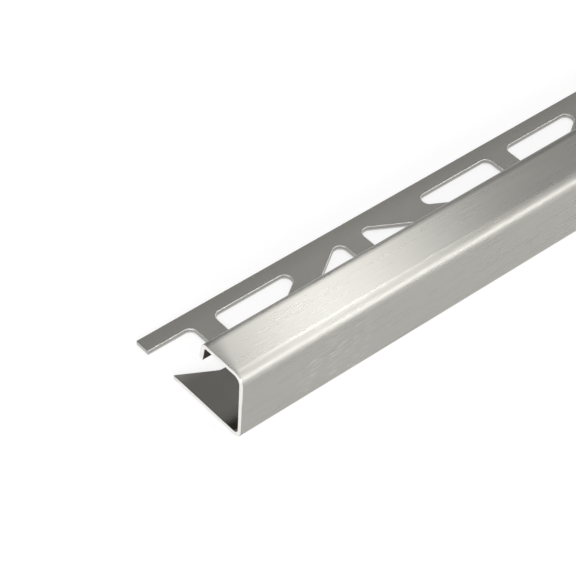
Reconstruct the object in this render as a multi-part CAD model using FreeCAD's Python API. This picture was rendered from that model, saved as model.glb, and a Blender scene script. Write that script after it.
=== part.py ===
import FreeCAD, Part

import math
import os

# A square tile edge trim: one strip of stainless sheet, punched along one side
# and folded three times. The punched leg lies flat in the adhesive bed, the wall
# stands at its front edge, the cap is folded back over the leg and ends in a
# short lip that leans away from the wall. X runs along the trim, Y from the wall
# to the leg's free edge and Z up. All lengths are in millimetres.

# The folded section. The widths are measured to where the outer faces would
# meet if the folds were sharp, and the fold radii are those of the outer faces.
length = 1000.0
height = 12.5
leg_width = 23.5
cap_width = 8.85
lip_drop = 3.3
lip_lean = 9.0
sheet = 0.75
foot_fold = 1.6
front_fold = 1.9
rear_fold = 1.2

# The punched leg. Posts cross it squarely, struts cross it aslant, and the holes
# are the spaces that the posts and struts leave between two plain strips. A long
# post has a long hole on each side, and a short post has a short hole on each.
plain_strip = 11.66
free_strip = 2.76
post_width = 3.92
strut_width = 3.8
hole_corner = 1.2
pitch = 59.6
first_long_post = 9.95
short_post_offset = 28.57

# Where each strut's centre line meets the free strip, counted from the post
# behind it, and the angle between the strut and the trim's length. The strut
# before a short post leans back towards the long post, and the one after it
# leans on towards the next.
back_strut_head = 22.28
back_strut_angle = 33.0
forward_strut_head = 7.07
forward_strut_angle = 29.5


def folded_line(corners, radii):
    """An open line through the corners, each inner corner rounded to its radius."""
    edges = []
    start = corners[0]
    for before, corner, after, radius in zip(corners, corners[1:], corners[2:], radii):
        to_before = (before - corner).normalize()
        to_after = (after - corner).normalize()
        half_angle = to_before.getAngle(to_after) / 2
        tangent = radius / math.tan(half_angle)
        inward = (to_before + to_after).normalize()
        middle = corner + inward * (radius / math.sin(half_angle) - radius)
        arc_start = corner + to_before * tangent
        arc_end = corner + to_after * tangent
        edges.append(Part.LineSegment(start, arc_start).toShape())
        edges.append(Part.Arc(arc_start, middle, arc_end).toShape())
        start = arc_end
    edges.append(Part.LineSegment(start, corners[-1]).toShape())
    return Part.Wire(edges)


def folded_sheet():
    """The section along its outer faces, given its thickness and drawn out along the trim."""
    lip_reach = lip_drop * math.tan(math.radians(lip_lean))
    corners = [
        FreeCAD.Vector(0, leg_width, 0),
        FreeCAD.Vector(0, 0, 0),
        FreeCAD.Vector(0, 0, height),
        FreeCAD.Vector(0, cap_width, height),
        FreeCAD.Vector(0, cap_width + lip_reach, height - lip_drop),
    ]
    outer_face = folded_line(corners, [foot_fold, front_fold, rear_fold])
    section = outer_face.makeOffset2D(sheet, 0, True, True)
    return section.extrude(FreeCAD.Vector(length, 0, 0))


def plate(points):
    """A flat face with the given corners, level with the leg's underside."""
    ring = [FreeCAD.Vector(x, y, 0) for x, y in points]
    return Part.Face(Part.makePolygon(ring + ring[:1]))


def strut(head, angle, lean):
    """The strip of leg that a strut keeps. A lean of 1 carries it forward towards the wall."""
    hole_depth = leg_width - free_strip - plain_strip
    slope = lean / math.tan(math.radians(angle))
    half_run = strut_width / math.sin(math.radians(angle)) / 2
    outside = leg_width - free_strip + hole_depth
    inside = plain_strip - hole_depth
    head_outside = head - hole_depth * slope
    head_inside = head + 2 * hole_depth * slope
    return plate([
        (head_outside - half_run, outside),
        (head_outside + half_run, outside),
        (head_inside + half_run, inside),
        (head_inside - half_run, inside),
    ])


def bay_holes(first_post, second_post, crossing_strut):
    """The two rounded holes between neighbouring posts, one on each side of the strut."""
    start = first_post + post_width / 2
    end = second_post - post_width / 2
    inner = plain_strip
    outer = leg_width - free_strip
    bay = plate([(start, inner), (end, inner), (end, outer), (start, outer)])
    holes = []
    for space in bay.cut(crossing_strut).Faces:
        rounded = space.makeOffset2D(-hole_corner).makeOffset2D(hole_corner)
        rounded.translate(FreeCAD.Vector(0, 0, -sheet))
        holes.append(rounded.extrude(FreeCAD.Vector(0, 0, 3 * sheet)))
    return holes


def punched_holes():
    """Every hole along the trim, the ones that its two sawn ends cut through too."""
    back_strut = strut(back_strut_head, back_strut_angle, -1)
    forward_strut = strut(short_post_offset + forward_strut_head, forward_strut_angle, 1)
    pattern = bay_holes(0, short_post_offset, back_strut)
    pattern += bay_holes(short_post_offset, pitch, forward_strut)
    repeats = math.ceil((length - first_long_post) / pitch)
    holes = []
    for repeat in range(-1, repeats):
        place = FreeCAD.Vector(first_long_post + repeat * pitch, 0, 0)
        for hole in pattern:
            copy = hole.copy()
            copy.translate(place)
            holes.append(copy)
    return holes


edge_trim = folded_sheet().cut(punched_holes())
edge_trim.translate(FreeCAD.Vector(-length / 2, -leg_width / 2, 0))

os.makedirs("parts", exist_ok=True)
edge_trim.exportStep("parts/edge_trim.step")
print("solids", len(edge_trim.Solids), "volume", round(edge_trim.Volume, 1), "valid", edge_trim.isValid())
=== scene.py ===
import math

import bmesh
import bpy
from bpy.props import FloatProperty, FloatVectorProperty, IntProperty, PointerProperty
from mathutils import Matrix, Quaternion, Vector
from mathutils.geometry import delaunay_2d_cdt


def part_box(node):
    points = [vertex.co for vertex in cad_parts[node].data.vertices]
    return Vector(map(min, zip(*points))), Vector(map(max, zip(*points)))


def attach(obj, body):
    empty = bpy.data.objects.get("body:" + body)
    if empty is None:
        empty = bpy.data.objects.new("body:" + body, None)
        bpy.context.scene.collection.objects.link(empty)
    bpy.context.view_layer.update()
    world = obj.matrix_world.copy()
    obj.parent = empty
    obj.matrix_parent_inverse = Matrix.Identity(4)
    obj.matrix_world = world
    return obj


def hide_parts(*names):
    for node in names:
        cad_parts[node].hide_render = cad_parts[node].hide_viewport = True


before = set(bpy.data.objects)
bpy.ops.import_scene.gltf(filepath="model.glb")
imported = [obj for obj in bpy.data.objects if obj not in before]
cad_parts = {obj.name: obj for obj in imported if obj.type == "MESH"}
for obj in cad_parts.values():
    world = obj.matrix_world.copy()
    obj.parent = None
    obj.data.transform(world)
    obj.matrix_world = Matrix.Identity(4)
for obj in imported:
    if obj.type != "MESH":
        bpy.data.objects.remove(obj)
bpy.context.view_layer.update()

bl_info = {
    "name": "Folded Tile Edge Trim",
    "version": (1, 0, 0),
    "blender": (4, 5, 0),
    "location": "3D View > Sidebar > Edge Trim",
    "description": "A punched and folded square edge trim for tiles, and the studio that it lies in",
    "category": "Object",
}

# X runs along the trim, Y from its wall to the leg's free edge and Z up, in metres.
trim_low, trim_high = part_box("edge_trim")
trim_size = trim_high - trim_low
millimetre = 0.001


def length_of(name, description, default):
    """A length that a user may change, kept in metres."""
    return FloatProperty(name=name, description=description, default=default, unit="LENGTH", precision=5)


def angle_of(name, description, degrees):
    """An angle that a user may change."""
    return FloatProperty(
        name=name, description=description, default=math.radians(degrees), subtype="ANGLE")


def colour_of(name, description, default):
    """A linear colour that a user may change."""
    return FloatVectorProperty(
        name=name, description=description, default=default, size=3, min=0, max=1, subtype="COLOR")


class EdgeTrimSizes(bpy.types.PropertyGroup):
    """The folded section, the punched pattern and the finish of the edges."""

    length: length_of("Length", "Along the trim", trim_size.x)
    height: length_of("Height", "From the leg's underside to the cap", trim_size.z)
    leg_width: length_of("Leg width", "From the wall to the leg's free edge", trim_size.y)
    cap_width: length_of(
        "Cap width", "From the wall to where the lip's line meets the cap", 8.85 * millimetre)
    lip_drop: length_of("Lip drop", "How far the lip reaches down from the cap", 3.3 * millimetre)
    lip_lean: angle_of("Lip lean", "How far the lip leans away from upright", 9.0)
    sheet: length_of("Sheet", "Thickness of the sheet", 0.75 * millimetre)
    foot_fold: length_of("Foot fold", "Outer radius between leg and wall", 1.6 * millimetre)
    front_fold: length_of("Front fold", "Outer radius between wall and cap", 1.9 * millimetre)
    rear_fold: length_of("Rear fold", "Outer radius between cap and lip", 1.2 * millimetre)
    plain_strip: length_of(
        "Plain strip", "Unpunched width of the leg beside the wall", 11.66 * millimetre)
    free_strip: length_of("Free strip", "Unpunched width along the free edge", 2.76 * millimetre)
    post_width: length_of(
        "Post width", "Sheet left between two holes, square to the length", 3.92 * millimetre)
    strut_width: length_of("Strut width", "Sheet left between two holes, aslant", 3.8 * millimetre)
    hole_corner: length_of("Hole corner", "Radius in the corners of a hole", 1.2 * millimetre)
    pitch: length_of("Pitch", "Length in which the pattern repeats", 59.6 * millimetre)
    first_long_post: length_of(
        "First long post", "From the sawn end to the first long post", 9.95 * millimetre)
    short_post_offset: length_of("Short post", "From a long post to the short one", 28.57 * millimetre)
    back_strut_head: length_of(
        "Back strut head", "From a long post to the strut that leans back", 22.28 * millimetre)
    back_strut_angle: angle_of("Back strut angle", "Between the strut and the length", 33.0)
    forward_strut_head: length_of(
        "Forward strut head", "From a short post to the next strut", 7.07 * millimetre)
    forward_strut_angle: angle_of("Forward strut angle", "Between the strut and the length", 29.5)
    punched_rim: length_of(
        "Punched rim", "How far the punch rolls the edge of a hole over", 0.15 * millimetre)
    sheared_edge: length_of("Sheared edge", "Roundness of the leg's free edge", 0.08 * millimetre)
    sawn_arris: length_of("Sawn arris", "Width of the broken edge round a sawn end", 0.06 * millimetre)
    arc_steps: IntProperty(
        name="Arc steps", description="Straight steps in a right-angled arc", default=12, min=2)


class EdgeTrimFinish(bpy.types.PropertyGroup):
    """The colours of the steel's faces."""

    brushed: colour_of("Brushed face", "Outer face of the sheet", (0.355, 0.346, 0.322))
    rolled: colour_of("Rolled face", "Inner face of the sheet", (0.42, 0.41, 0.38))
    punched: colour_of("Punched edge", "Walls of the holes and the free edge", (0.66, 0.65, 0.62))
    sawn: colour_of("Sawn end", "Fresh cut at both ends", (0.88, 0.87, 0.85))


class EdgeTrimStudio(bpy.types.PropertyGroup):
    """The floor, the light and the camera."""

    floor_width: length_of("Floor width", "Side of the square floor", 30.0)
    floor_colour: colour_of("Floor", "Colour of the floor", (0.3, 0.3, 0.3))
    floor_glow: FloatProperty(
        name="Floor glow", description="Light that lifts the floor to white, for the eye and in the metal",
        default=0.75, min=0)
    azimuth: angle_of("Azimuth", "Where the camera stands, seen from above", -42.89)
    elevation: angle_of("Elevation", "How far the camera looks down", 44.91)
    roll: angle_of("Roll", "How far the camera leans over", 3.29)
    place: FloatVectorProperty(
        name="Place", description="Where the camera stands", default=(-0.635755, -0.165722, 0.234905),
        size=3, subtype="TRANSLATION")
    lens: FloatProperty(
        name="Lens", description="Focal length in millimetres", default=140.46, unit="CAMERA")


class Value:
    """A number on a surface: a shader socket that ordinary arithmetic works on."""

    def __init__(self, shader, socket):
        self.shader = shader
        self.socket = socket

    def maths(self, operation, *values):
        """One Math node on two values."""
        return self.shader.node("ShaderNodeMath", {"operation": operation}, dict(enumerate(values)))

    def __add__(self, other):
        return self.maths("ADD", self, other)

    def __radd__(self, other):
        return self.maths("ADD", other, self)

    def __sub__(self, other):
        return self.maths("SUBTRACT", self, other)

    def __rsub__(self, other):
        return self.maths("SUBTRACT", other, self)

    def __mul__(self, other):
        return self.maths("MULTIPLY", self, other)

    def __rmul__(self, other):
        return self.maths("MULTIPLY", other, self)

    def step(self, start, end):
        """A soft step: 0 up to the start, 1 from the end on. The start may be the greater one."""
        return self.shader.node("ShaderNodeMapRange", {"interpolation_type": "SMOOTHSTEP"},
                                {"Value": self, "From Min": start, "From Max": end}, "Result")


class Shader:
    """The node tree of one material, light or world."""

    def __init__(self, owner):
        owner.use_nodes = True
        self.tree = owner.node_tree
        self.tree.nodes.clear()

    def node(self, kind, settings=None, sockets=None, output=0):
        """Adds a node of that kind and returns one of its outputs, or the node if it has none."""
        made = self.tree.nodes.new(kind)
        for name, setting in (settings or {}).items():
            setattr(made, name, setting)
        for name, given in (sockets or {}).items():
            if isinstance(given, Value):
                self.tree.links.new(given.socket, made.inputs[name])
            else:
                made.inputs[name].default_value = given
        return Value(self, made.outputs[output]) if made.outputs else made

    def split(self, vector):
        """The three numbers of a vector."""
        return [self.node("ShaderNodeSeparateXYZ", sockets={"Vector": vector}, output=axis)
                for axis in "XYZ"]

    def place(self):
        """Where the shaded point is on the trim, as three numbers in metres."""
        return self.split(self.node("ShaderNodeTexCoord", output="Object"))

    def vector(self, x, y, z):
        """Three numbers as one vector."""
        return self.node("ShaderNodeCombineXYZ", sockets={"X": x, "Y": y, "Z": z})

    def noise(self, vector, detail=2.0):
        """Soft noise from 0 to 1 that changes about once in each unit of the vector."""
        return self.node("ShaderNodeTexNoise", {"noise_dimensions": "3D"},
                         {"Vector": vector, "Scale": 1.0, "Detail": detail}, "Fac")

    def tinted(self, colour, level):
        """A colour, lighter or darker by a number that changes over the surface."""
        grey = self.vector(level, level, level)
        return self.node("ShaderNodeVectorMath", {"operation": "MULTIPLY"}, {0: tuple(colour), 1: grey})


def millimetres_from(start, place):
    """How far a place on a surface is from where something starts, in millimetres."""
    return (place - start) * (1 / millimetre)


def new_finish(name):
    """An empty material and its node tree."""
    material = bpy.data.materials.new(name)
    return material, Shader(material)


def metal(shader, colour, roughness, height, relief, spread_across=0.0):
    """Ends a finish in bare metal: its colour, its roughness, how deep its relief is, in metres,
    and how far its gloss spreads across the trim instead of along it, from 0 to 1."""
    normal = shader.node("ShaderNodeBump", sockets={
        "Strength": 1.0, "Filter Width": 0.01, "Distance": relief, "Height": height})
    across_the_trim = 0.25
    surface = shader.node("ShaderNodeBsdfPrincipled", sockets={
        "Base Color": colour, "Metallic": 1.0, "Roughness": roughness, "Normal": normal,
        "Anisotropic": spread_across, "Anisotropic Rotation": across_the_trim})
    shader.node("ShaderNodeOutputMaterial", sockets={"Surface": surface})


def brushed_finish(colour):
    """The sheet's outer face: short fine lines along the trim, drawn a little askew. The wall is
    scratched near one end, and shade is painted on the cap beside that cut and along its rear fold."""
    material, shader = new_finish("brushed_steel")
    x, y, z = shader.place()
    from_cut = millimetres_from(trim_low.x, x)
    from_wall = millimetres_from(trim_low.y, y)
    from_floor = millimetres_from(trim_low.z, z)
    askew = 0.01
    across = y + x * askew
    up = z - x * askew
    hairlines = shader.noise(shader.vector(x * 200, across * 14000, up * 14000), detail=1.0)
    streaks = shader.noise(shader.vector(x * 60 + 7, across * 2500, up * 2500))
    patches = shader.noise(shader.vector(x * 40, across * 300, up * 300))
    slope = 0.05
    scratched = shader.noise(shader.vector(x * 450, (across - x * slope) * 4200, (up - x * slope) * 4200))
    handled = from_cut.step(8, 13) * from_cut.step(25.5, 20.5) * (1 - from_floor.step(9, 12) * 0.75)
    scratches = scratched.step(0.56, 0.66) * handled
    # Painted shade on the cap beside the near cut, in a wedge that widens towards the cap's rear.
    painted_shade_beside_cut = from_cut.step(from_wall * 0.43, 0) * from_floor.step(11.5, 12.5)
    # Painted shade along the cap's rear edge as it turns into the rear fold: it deepens from 7.25 mm off
    # the wall to 7.85 mm, then eases to about half by 8.35 mm.
    rear_fold = from_wall.step(7.25, 7.85) * 0.32 - from_wall.step(7.85, 8.35) * 0.15
    level = 0.84 + hairlines * 0.1 + streaks * 0.12 + patches * 0.08 + scratches * 0.3
    # The painted shade beside the near cut and along the rear fold darkens the brushed colour here.
    level = level * (1 - painted_shade_beside_cut * 0.38) * (1 - rear_fold)
    roughness = 0.25 + streaks * 0.04 + patches * 0.02
    metal(shader, shader.tinted(colour, level), roughness, hairlines, 0.000002, spread_across=1.0)
    return material


def rolled_finish(colour):
    """The sheet's inner face, as it came from the mill: smooth, with faint rolling lines. It has painted
    shade on the leg's plain strip, is darker at its free edge, and has painted light under the cap, where
    it is also rougher."""
    material, shader = new_finish("rolled_steel")
    x, y, z = shader.place()
    from_wall = millimetres_from(trim_low.y, y)
    from_floor = millimetres_from(trim_low.z, z)
    lines = shader.noise(shader.vector(x * 30, y * 900, z * 900))
    mottle = shader.noise(shader.vector(x * 150, y * 150, z * 150), detail=3.0)
    # Painted shade on the leg's plain strip beside the wall, where the cap and the wall shade it.
    painted_shade_on_plain_leg = from_wall.step(16.75, 11.75) * from_floor.step(3, 1)
    # Painted light under the cap: the colour is made paler there, and the roughness rises there too.
    under_cap = from_floor.step(6, 9)
    free_edge = from_wall.step(20.25, 23.45)
    level = 0.95 + lines * 0.05 + mottle * 0.05
    # The painted shade on the plain strip and the painted light under the cap change the colour here.
    level = level * (1 - painted_shade_on_plain_leg * 0.5) * (1 + under_cap * 0.8) * (1 - free_edge * 0.1)
    roughness = 0.1 + mottle * 0.04 + under_cap * 0.2
    metal(shader, shader.tinted(colour, level), roughness, lines * 0.5 + mottle * 0.5, 0.000004)
    return material


def punched_finish(colour):
    """The walls of the holes and the free edge: bright where the punch rolled the sheet over as it
    went in, torn and dull below that, and bright again towards the underside."""
    material, shader = new_finish("punched_steel")
    x, y, z = shader.place()
    from_floor = millimetres_from(trim_low.z, z)
    drag = shader.noise(shader.vector(x * 6000, y * 6000, z * 600), detail=1.0)
    torn = (from_floor + drag * 0.06).step(0.66, 0.6) * from_floor.step(0, 0.45)
    level = (0.9 + drag * 0.2) * (1 - torn * 0.5)
    metal(shader, shader.tinted(colour, level), 0.24 + torn * 0.2 + drag * 0.1, drag, 0.00001)
    return material


def sawn_finish(colour):
    """A fresh cut: bright and rough, with the blade's fine lines, and with painted shade out on the leg.
    """
    material, shader = new_finish("sawn_steel")
    x, y, z = shader.place()
    from_wall = millimetres_from(trim_low.y, y)
    lines = shader.noise(shader.vector(x * 1000, (y + z) * 5000, (y - z) * 500), detail=1.0)
    # Painted shade on the sawn end out on the leg, from 12.75 mm off the wall onwards.
    level = (0.9 + lines * 0.18) * (1 - from_wall.step(12.75, 16.75) * 0.4)
    metal(shader, shader.tinted(colour, level), 0.5 + lines * 0.1, lines, 0.00002)
    return material


def arc(centre, radius, start, turn, steps):
    """Points on an arc from the angle start, as pairs."""
    angles = [start + turn * step / steps for step in range(steps + 1)]
    return [centre + radius * Vector((math.cos(angle), math.sin(angle))) for angle in angles]


def inset(corners, depth):
    """A convex outline, counter-clockwise, with each side moved in by the depth. Sides that are
    too short for it drop out."""
    kept = corners
    for start, end in zip(corners, corners[1:] + corners[:1]):
        along = (end - start).normalized()
        inward = Vector((-along.y, along.x))
        heights = [(point - start).dot(inward) - depth for point in kept]
        cut = []
        for index, (point, height) in enumerate(zip(kept, heights)):
            before, height_before = kept[index - 1], heights[index - 1]
            if (height < 0) != (height_before < 0):
                cut.append(before.lerp(point, height_before / (height_before - height)))
            if height >= 0:
                cut.append(point)
        kept = cut
    return kept


def rounded(corners, radius, grown, steps):
    """A convex outline with round corners of that radius, all moved out by as much as it has grown."""
    centres = inset(corners, radius)
    points = []
    for index, centre in enumerate(centres):
        before = centre - centres[index - 1]
        after = centres[(index + 1) % len(centres)] - centre
        turn = math.atan2(before.cross(after), before.dot(after))
        share = max(1, math.ceil(turn / (math.pi / 2) * steps))
        points += arc(centre, radius + grown, math.atan2(-before.x, before.y), turn, share)
    return points


class Section:
    """The folded sheet seen along the trim, as pairs of Y and Z: its outer and its inner line
    from the leg's free edge round the folds to the lip's end."""

    def __init__(self, sizes):
        reach = sizes.lip_drop * math.tan(sizes.lip_lean)
        corners = [
            Vector((sizes.leg_width, 0)),
            Vector((0, 0)),
            Vector((0, sizes.height)),
            Vector((sizes.cap_width, sizes.height)),
            Vector((sizes.cap_width + reach, sizes.height - sizes.lip_drop)),
        ]
        self.outer = []
        self.inner = []
        self.add_end(corners[0], corners[1], sizes.sheet, 1)
        for index, radius in enumerate((sizes.foot_fold, sizes.front_fold, sizes.rear_fold)):
            before, corner, after = corners[index:index + 3]
            arriving = (corner - before).normalized()
            leaving = (after - corner).normalized()
            turn = math.atan2(arriving.cross(leaving), arriving.dot(leaving))
            centre = corner + (leaving - arriving).normalized() * radius / math.cos(turn / 2)
            start = math.atan2(-arriving.x, arriving.y) + math.pi
            share = math.ceil(abs(turn) / (math.pi / 2) * sizes.arc_steps)
            self.outer += arc(centre, radius, start, turn, share)
            self.inner += arc(centre, radius - sizes.sheet, start, turn, share)
        self.add_end(corners[-1], corners[-2], sizes.sheet, -1)

    def add_end(self, end, neighbour, sheet, side):
        """Adds the outer and the inner corner of one end of the strip. The sheet lies on the
        right of the way to the neighbour where the side is 1, and on its left where it is -1."""
        along = (neighbour - end).normalized()
        inward = Vector((along.y, -along.x)) * side
        self.outer.append(end)
        self.inner.append(end + inward * sheet)


def hole_outlines(sizes):
    """The sharp outlines of the four holes in one repeat, from the long post's middle."""
    inner = sizes.plain_strip
    outer = sizes.leg_width - sizes.free_strip
    half_post = sizes.post_width / 2

    def strut_line(head, angle, lean, side):
        """One side of a strut: its X at the plain strip and at the free strip."""
        half_run = sizes.strut_width / math.sin(angle) / 2 * side
        return head + lean * (outer - inner) / math.tan(angle) + half_run, head + half_run

    back = [strut_line(sizes.back_strut_head, sizes.back_strut_angle, -1, side) for side in (-1, 1)]
    forward_head = sizes.short_post_offset + sizes.forward_strut_head
    forward = [strut_line(forward_head, sizes.forward_strut_angle, 1, side) for side in (-1, 1)]

    def hole(left, right):
        """A four-sided hole from its left and its right side."""
        return [Vector((left[0], inner)), Vector((right[0], inner)),
                Vector((right[1], outer)), Vector((left[1], outer))]

    long_post = [half_post] * 2
    short_post = [sizes.short_post_offset + side * half_post for side in (-1, 1)]
    next_long_post = [sizes.pitch - half_post] * 2
    return [
        hole(long_post, back[0]),
        hole(back[1], [short_post[0]] * 2),
        hole([short_post[1]] * 2, forward[0]),
        hole(forward[1], next_long_post),
    ]


class TrimMesh:
    """Builds the trim as one closed mesh. It is made too long and sawn off at both ends."""

    # The places of the finishes in the trim's list of materials.
    brushed, rolled, punched, sawn = range(4)

    def __init__(self, sizes):
        self.sizes = sizes
        self.mesh = bmesh.new()
        self.start = -sizes.pitch
        self.end = sizes.length + sizes.pitch

    def line(self, point):
        """The two ends of a long edge, at a pair of Y and Z."""
        y, z = point
        return [self.mesh.verts.new((x, y, z)) for x in (self.start, self.end)]

    def band(self, first, second, finish):
        """A long face between two long edges. It is one of the flat ones if it is wide."""
        face = self.mesh.faces.new((first[0], second[0], second[1], first[1]))
        face.material_index = finish
        face.smooth = (first[0].co - second[0].co).length < self.sizes.sheet

    def ring(self, points, height):
        """The corners of an outline in the leg, at one height."""
        return [self.mesh.verts.new((point.x, point.y, height)) for point in points]

    def wall(self, lower, upper, finish):
        """The faces between two rings of as many points."""
        for index in range(len(lower)):
            face = self.mesh.faces.new((lower[index - 1], lower[index], upper[index], upper[index - 1]))
            face.material_index = finish
            face.smooth = True

    def folds(self):
        """The wall, the cap, the lip and the folds. Returns the long edges where the leg joins."""
        section = Section(self.sizes)
        outer = [self.line(point) for point in section.outer[1:]]
        inner = [self.line(point) for point in section.inner[1:]]
        for near, far in zip(outer, outer[1:]):
            self.band(far, near, self.brushed)
        for near, far in zip(inner, inner[1:]):
            self.band(near, far, self.rolled)
        self.band(inner[-1], outer[-1], self.punched)
        return outer[0], inner[0]

    def free_edge(self):
        """The leg's sheared free edge, a little rounded. Returns its lowest and highest long edge."""
        sizes = self.sizes
        radius = sizes.sheared_edge
        quarter = math.pi / 2
        steps = 3
        points = []
        for middle, start in ((radius, -quarter), (sizes.sheet - radius, 0.0)):
            points += arc(Vector((sizes.leg_width - radius, middle)), radius, start, quarter, steps)
        lines = [self.line(point) for point in points]
        for low, high in zip(lines, lines[1:]):
            self.band(low, high, self.punched)
        return lines[0], lines[-1]

    def holes(self):
        """The punched walls of every hole. Returns their lower and their upper rims."""
        sizes = self.sizes
        rim = sizes.punched_rim
        steps = 4
        turns = [math.pi / 2 * step / steps for step in range(steps + 1)]
        rolls = [(0.0, 0.0)]
        rolls += [(rim * (1 - math.cos(turn)), sizes.sheet - rim * (1 - math.sin(turn)))
                  for turn in turns]
        lower_rims, upper_rims = [], []
        patterns = hole_outlines(sizes)
        repeats = range(-1, math.ceil((sizes.length - sizes.first_long_post) / sizes.pitch) + 1)
        for repeat in repeats:
            shift = Vector((sizes.first_long_post + repeat * sizes.pitch, 0))
            for corners in patterns:
                moved = [corner + shift for corner in corners]
                places = [corner.x for corner in moved]
                if min(places) < self.start or max(places) > self.end:
                    continue
                rings = [self.ring(rounded(moved, sizes.hole_corner, grown, sizes.arc_steps), height)
                         for grown, height in rolls]
                for lower, upper in zip(rings, rings[1:]):
                    self.wall(lower, upper, self.punched)
                lower_rims.append(rings[0])
                upper_rims.append(rings[-1])
        return lower_rims, upper_rims

    def plate(self, outline, rims, finish):
        """Fills a flat face of the leg inside its outline and round the rims of its holes. Every
        hole is convex, so a triangle with all its corners on one rim lies in that hole."""
        corners, rim_of, sides = [], [], []
        for rim, ring in enumerate((outline, *rims)):
            first = len(corners)
            corners += ring
            rim_of += [rim] * len(ring)
            sides += [(first + index, first + (index + 1) % len(ring)) for index in range(len(ring))]
        flat = [corner.co.xy / millimetre for corner in corners]
        inside_the_outline = 1
        touching = 1e-5
        filled = delaunay_2d_cdt(flat, sides, [], inside_the_outline, touching)
        _, _, triangles, sources, _, _ = filled
        for triangle in triangles:
            found = [sources[index][0] for index in triangle]
            if len({rim_of[index] for index in found}) > 1:
                face = self.mesh.faces.new([corners[index] for index in found])
                face.material_index = finish
                face.smooth = False

    def leg(self, joins):
        """The punched leg, from the foot fold to the free edge."""
        finishes = (self.brushed, self.rolled)
        for join, free, rims, finish in zip(joins, self.free_edge(), self.holes(), finishes):
            self.plate([join[0], join[1], free[1], free[0]], rims, finish)

    def rescale(self, factor):
        """Makes the mesh larger or smaller about its origin."""
        bmesh.ops.scale(self.mesh, verts=self.mesh.verts, vec=(factor, factor, factor))

    def saw(self):
        """Cuts both ends square, closes them and breaks their arrises. This is done in
        millimetres, because the tools for it lose fine detail in metres."""
        self.rescale(1 / millimetre)
        arris = self.sizes.sawn_arris / millimetre
        touching = 1e-5
        for place, outward in ((arris, -1), (self.sizes.length / millimetre - arris, 1)):
            everything = self.mesh.verts[:] + self.mesh.edges[:] + self.mesh.faces[:]
            cut = bmesh.ops.bisect_plane(
                self.mesh, geom=everything, plane_co=(place, 0, 0), plane_no=(outward, 0, 0),
                clear_outer=True, dist=touching)
            edges = [item for item in cut["geom_cut"] if isinstance(item, bmesh.types.BMEdge)]
            ends = bmesh.ops.edgeloop_fill(self.mesh, edges=edges, mat_nr=self.sawn)["faces"]
            bmesh.ops.recalc_face_normals(self.mesh, faces=self.mesh.faces)
            broken = bmesh.ops.inset_region(self.mesh, faces=ends, use_boundary=True,
                                            use_even_offset=True, thickness=arris, depth=arris)
            for face in broken["faces"]:
                face.material_index = self.rolled
        self.rescale(millimetre)

    def built(self, name):
        """The finished mesh, moved so that the trim's middle is at the origin."""
        self.leg(self.folds())
        self.saw()
        bmesh.ops.recalc_face_normals(self.mesh, faces=self.mesh.faces)
        bmesh.ops.translate(self.mesh, verts=self.mesh.verts,
                            vec=(-self.sizes.length / 2, -self.sizes.leg_width / 2, 0))
        data = bpy.data.meshes.new(name)
        self.mesh.to_mesh(data)
        self.mesh.free()
        crease = math.radians(35)
        shade(data, crease)
        return data


def shade(data, crease):
    """Shades a mesh smooth between its creases, with the faces that were flat kept flat right up
    to the folds and rims beside them."""
    flat_normals = {}
    for face in data.polygons:
        if not face.use_smooth:
            for vertex in face.vertices:
                flat_normals.setdefault(vertex, []).append(face.normal.copy())
    data.set_sharp_from_angle(angle=crease)
    unchanged = Vector((0, 0, 0))
    normals = []
    for face in data.polygons:
        for vertex in face.vertices:
            near = [normal for normal in flat_normals.get(vertex, ())
                    if normal.dot(face.normal) > math.cos(crease)]
            normals.append(near[0] if near else unchanged)
    data.normals_split_custom_set(normals)


def set_grain(data):
    """Points the grain along the trim. Gloss spreads round the middle of the texture space, so
    that middle is set far to one side."""
    data.use_auto_texspace = False
    data.texspace_location = (0, -1, 0)
    data.texspace_size = (100, 1, 1)


class EDGETRIM_OT_build(bpy.types.Operator):
    """Build the folded and punched trim"""

    bl_idname = "edgetrim.build"
    bl_label = "Build Edge Trim"

    def execute(self, context):
        scene = context.scene
        data = TrimMesh(scene.edge_trim_sizes).built("folded_edge_trim")
        set_grain(data)
        finish = scene.edge_trim_finish
        for material in (brushed_finish(finish.brushed), rolled_finish(finish.rolled),
                         punched_finish(finish.punched), sawn_finish(finish.sawn)):
            data.materials.append(material)
        trim = bpy.data.objects.new("folded_edge_trim", data)
        scene.collection.objects.link(trim)
        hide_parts("edge_trim")
        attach(trim, "root")
        return {"FINISHED"}


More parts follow.
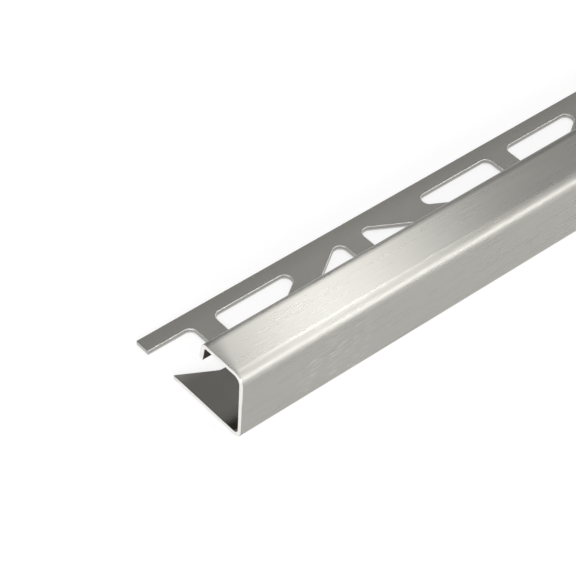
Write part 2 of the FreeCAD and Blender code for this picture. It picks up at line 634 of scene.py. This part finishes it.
class EDGETRIM_OT_stage(bpy.types.Operator):
    """Lay the floor, light it and set the camera"""

    bl_idname = "edgetrim.stage"
    bl_label = "Build Studio"

    def execute(self, context):
        studio = context.scene.edge_trim_studio
        self.lay_floor(context.scene, studio)
        self.light(context.scene)
        self.aim_camera(context.scene, studio)
        context.scene.view_settings.view_transform = "Standard"
        return {"FINISHED"}

    def lay_floor(self, scene, studio):
        """A wide floor that looks white and keeps the trim's shadow."""
        half = studio.floor_width / 2
        clearance = 0.05 * millimetre
        data = bpy.data.meshes.new("floor")
        square = ((-half, -half), (half, -half), (half, half), (-half, half))
        data.from_pydata([(x, y, -clearance) for x, y in square], [], [range(len(square))])
        material, shader = new_finish("pale_floor")
        matt = shader.node("ShaderNodeBsdfDiffuse", {}, {"Color": (*studio.floor_colour, 1)}, "BSDF")
        seen = [shader.node("ShaderNodeLightPath", output=ray)
                for ray in ("Is Camera Ray", "Is Glossy Ray", "Is Transmission Ray")]
        strength = sum(seen) * studio.floor_glow
        glow = shader.node("ShaderNodeEmission", {}, {"Strength": strength}, "Emission")
        surface = shader.node("ShaderNodeAddShader", {}, {0: matt, 1: glow}, "Shader")
        shader.node("ShaderNodeOutputMaterial", sockets={"Surface": surface})
        data.materials.append(material)
        floor = bpy.data.objects.new("floor", data)
        scene.collection.objects.link(floor)

    def light(self, scene):
        """A grey room, its parts placed by their angle in degrees about the trim's length, from 0
        overhead to less than 0 in front: a long softbox low in front, and a dim one over the near
        end that is bright along its rear edge. The brushed face spreads that edge over the cap."""
        world = bpy.data.worlds.new("grey_room")
        scene.world = world
        shader = Shader(world)
        x, y, z = shader.split(shader.node("ShaderNodeTexCoord", output="Generated"))
        angle = shader.node("ShaderNodeMath", {"operation": "ARCTAN2"}, {0: y, 1: z}) * math.degrees(1)
        softbox = angle.step(-52.5, -61.5) * angle.step(-73, -64)
        near_end = x.step(0.415, 0.5) * x.step(0.566, 0.482)
        wing = near_end * angle.step(-53.5, -43.5) * angle.step(32.5, 24.5)
        edge = wing * angle.step(17, 21)
        walls = 0.5 + angle.step(30, 6) * 0.35 - angle.step(46, 58) * 0.25 + angle.step(62, 78) * 0.45
        level = walls + softbox * 8 + wing * 1.9 + edge * 15
        white = (1, 1, 1, 1)
        background = shader.node("ShaderNodeBackground", sockets={"Color": white, "Strength": level})
        shader.node("ShaderNodeOutputWorld", sockets={"Surface": background})

    def aim_camera(self, scene, studio):
        """The camera, set where the photograph was taken from."""
        data = bpy.data.cameras.new("camera")
        data.lens = studio.lens
        camera = bpy.data.objects.new("camera", data)
        camera.location = studio.place
        level = math.cos(studio.elevation)
        back = Vector((math.sin(studio.azimuth) * level, -math.cos(studio.azimuth) * level,
                       math.sin(studio.elevation)))
        camera.rotation_mode = "QUATERNION"
        camera.rotation_quaternion = (-back).to_track_quat("-Z", "Y") @ Quaternion((0, 0, 1), studio.roll)
        scene.collection.objects.link(camera)
        scene.camera = camera


class EDGETRIM_PT_sidebar(bpy.types.Panel):
    """The trim's sizes, its finish and the studio"""

    bl_idname = "EDGETRIM_PT_sidebar"
    bl_label = "Edge Trim"
    bl_space_type = "VIEW_3D"
    bl_region_type = "UI"
    bl_category = "Edge Trim"

    def draw(self, context):
        steps = ((EDGETRIM_OT_build, ("edge_trim_sizes", "edge_trim_finish")),
                 (EDGETRIM_OT_stage, ("edge_trim_studio",)))
        for operator, names in steps:
            for name in names:
                group = getattr(context.scene, name)
                for prop in group.__annotations__:
                    self.layout.prop(group, prop)
            self.layout.operator(operator.bl_idname)


groups = {
    "edge_trim_sizes": EdgeTrimSizes,
    "edge_trim_finish": EdgeTrimFinish,
    "edge_trim_studio": EdgeTrimStudio,
}
classes = (*groups.values(), EDGETRIM_OT_build, EDGETRIM_OT_stage, EDGETRIM_PT_sidebar)


def register():
    for cls in classes:
        bpy.utils.register_class(cls)
    for name, group in groups.items():
        setattr(bpy.types.Scene, name, PointerProperty(type=group))


def unregister():
    for name in groups:
        delattr(bpy.types.Scene, name)
    for cls in reversed(classes):
        bpy.utils.unregister_class(cls)


def main():
    register()
    bpy.ops.edgetrim.build()
    bpy.ops.edgetrim.stage()


if __name__ == "__main__":
    main()
